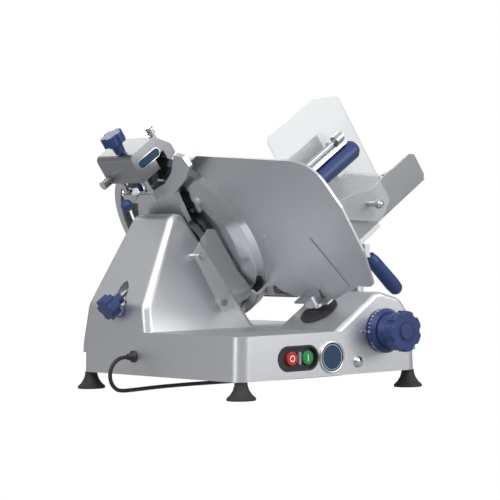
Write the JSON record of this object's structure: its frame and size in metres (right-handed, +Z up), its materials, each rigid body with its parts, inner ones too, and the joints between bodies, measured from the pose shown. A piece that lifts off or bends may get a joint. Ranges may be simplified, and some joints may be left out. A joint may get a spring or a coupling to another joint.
{
  "type": "deli meat slicer",
  "caption": "Gravity-feed deli meat slicer: tilted round blade, gauge plate, sliding food tray with clear hand guard, pusher, sharpener and thickness knob on an aluminium base.",
  "frame": {"origin": "on the counter, midway between the four feet", "axes": "+Z up, -Y towards the operator, +X to the operator's right; the blade's axis is in the XZ plane, 33.5 degrees above +X"},
  "size_m": [0.6059, 0.5575, 0.4736],
  "materials": {
    "body_alu": "satin anodised casting",
    "plate_alu": "fine satin",
    "blade_steel": "ground and polished",
    "steel": "turned",
    "chrome": "polished",
    "clear_sheet": "clear acrylic",
    "blue_plastic": "smooth",
    "black_rubber": "matt",
    "black_plastic": "matt",
    "red_button": "smooth",
    "green_button": "smooth",
    "pilot": "translucent",
    "badge_blue": "enamel",
    "stone": "bonded abrasive",
    "motor_paint": "enamel",
    "cord_jacket": "matt",
    "pin_brass": "plain"
  },
  "bodies": {
    "base": {"base_casting": "body_alu", "bottom_cover": "steel", "feet": "black_rubber", "foot_studs": "steel", "bearing_housing": "body_alu", "blade_bearings": "steel", "drive_belt": "black_rubber", "motor": "motor_paint", "motor_plate": "steel", "guard_ring": "plate_alu", "knife_cover": "plate_alu", "slice_deflector": "clear_sheet", "deflector_screws": "chrome", "switch_bezel": "black_plastic", "pilot_lens": "pilot", "contact_block": "black_plastic", "badge_plate": "badge_blue", "dome_screw": "chrome", "cord_gland": "black_plastic", "gauge_guide": "steel", "carriage_rail": "steel", "sharpener_bracket": "plate_alu", "sharpener_posts": "chrome", "power_cord": "cord_jacket", "cord_coil": "cord_jacket", "power_plug": "cord_jacket", "plug_pins": "pin_brass"},
    "blade_rotor": {"blade": "blade_steel", "blade_hub": "steel", "blade_pulley": "body_alu"},
    "motor_rotor": {"motor_pulley": "steel"},
    "tie": {"tie_knob": "blue_plastic", "tie_rod": "chrome"},
    "stop": {"stop_button": "red_button"},
    "start": {"start_button": "green_button"},
    "thickness_knob": {"dial_skirt": "blue_plastic", "knob_grip": "blue_plastic", "index_spindle": "steel"},
    "gauge": {"gauge_plate": "plate_alu", "gauge_post": "chrome", "post_seal": "black_rubber", "gauge_slide": "body_alu"},
    "carriage": {"tray": "plate_alu", "carriage_arm": "body_alu", "carriage_slider": "body_alu", "carriage_handle": "blue_plastic", "pusher_rod": "chrome"},
    "pusher": {"pusher_arm": "chrome", "pusher_plate": "plate_alu", "hand_guard": "clear_sheet", "pusher_grip": "blue_plastic", "guard_pin": "chrome"},
    "sharpener": {"sharpener_cover": "plate_alu"},
    "clamp_knob": {"sharpener_knob": "blue_plastic"},
    "grinder": {"grinding_stone": "stone"},
    "truer": {"truing_stone": "stone"},
    "grinding_push": {"grinding_button": "chrome"},
    "truing_push": {"truing_button": "chrome"},
    "lever": {"sharpener_lever": "chrome", "lever_ball": "blue_plastic"}
  },
  "joints": [
    {"name": "blade_spin", "type": "hinge", "parent": "base", "child": "blade_rotor", "pos_m": [-0.018, 0.11, 0.255], "axis": [0.8339, 0, 0.5519], "continuous": true},
    {"name": "motor_spin", "type": "hinge", "parent": "base", "child": "motor_rotor", "pos_m": [0.03995, 0.11, 0.16744], "axis": [0.8339, 0, 0.5519], "continuous": true},
    {"name": "tie_knob_turn", "type": "hinge", "parent": "base", "child": "tie", "pos_m": [-0.18478, 0.11, 0.14461], "axis": [0.8339, 0, 0.5519], "range_deg": [0, 360]},
    {"name": "stop_press", "type": "slide", "parent": "base", "child": "stop", "axis": [0, 1, 0], "range_m": [0, 0.003], "stiffness_N_per_m": 400, "springref_m": -0.002},
    {"name": "start_press", "type": "slide", "parent": "base", "child": "start", "axis": [0, 1, 0], "range_m": [0, 0.003], "stiffness_N_per_m": 400, "springref_m": -0.002},
    {"name": "knob_turn", "type": "hinge", "parent": "base", "child": "thickness_knob", "pos_m": [0.11, -0.22, 0.094], "axis": [0, -1, 0], "range_deg": [0, 300]},
    {"name": "gauge_open", "type": "slide", "parent": "base", "child": "gauge", "axis": [-0.8339, 0, -0.5519], "range_m": [0, 0.016]},
    {"name": "carriage_slide", "type": "slide", "parent": "base", "child": "carriage", "axis": [0, 1, 0], "range_m": [-0.115, 0.12]},
    {"name": "pusher_slide", "type": "slide", "parent": "carriage", "child": "pusher", "axis": [0.8339, 0, 0.5519], "range_m": [-0.075, 0.1]},
    {"name": "sharpener_lift", "type": "slide", "parent": "base", "child": "sharpener", "axis": [-0.5519, 0, 0.8339], "range_m": [0, 0.03]},
    {"name": "clamp_knob_turn", "type": "hinge", "parent": "sharpener", "child": "clamp_knob", "pos_m": [-0.16039, 0.122, 0.3886], "axis": [-0.5519, 0, 0.8339], "range_deg": [0, 360]},
    {"name": "grinding_stone_spin", "type": "hinge", "parent": "sharpener", "child": "grinder", "pos_m": [-0.11725, 0.11, 0.3524], "axis": [0.8339, 0, 0.5519], "continuous": true},
    {"name": "truing_stone_spin", "type": "hinge", "parent": "sharpener", "child": "truer", "pos_m": [-0.09605, 0.102, 0.38922], "axis": [0.8339, 0, 0.5519], "continuous": true},
    {"name": "grinding_press", "type": "slide", "parent": "sharpener", "child": "grinding_push", "axis": [0.8339, 0, 0.5519], "range_m": [0, 0.003], "stiffness_N_per_m": 400, "springref_m": -0.002},
    {"name": "truing_press", "type": "slide", "parent": "sharpener", "child": "truing_push", "axis": [0.5519, 0, -0.8339], "range_m": [0, 0.003], "stiffness_N_per_m": 400, "springref_m": -0.002},
    {"name": "lever_swing", "type": "hinge", "parent": "base", "child": "lever", "pos_m": [-0.12151, 0.109, 0.3208], "axis": [-0.5519, 0, 0.8339], "range_deg": [-25, 25]}
  ],
  "couplings": [
    {"joint": "motor_spin", "follows": "blade_spin", "ratio": 2.4474},
    {"joint": "gauge_open", "follows": "knob_turn", "m_per_rad": 0.0030558}
  ]
}
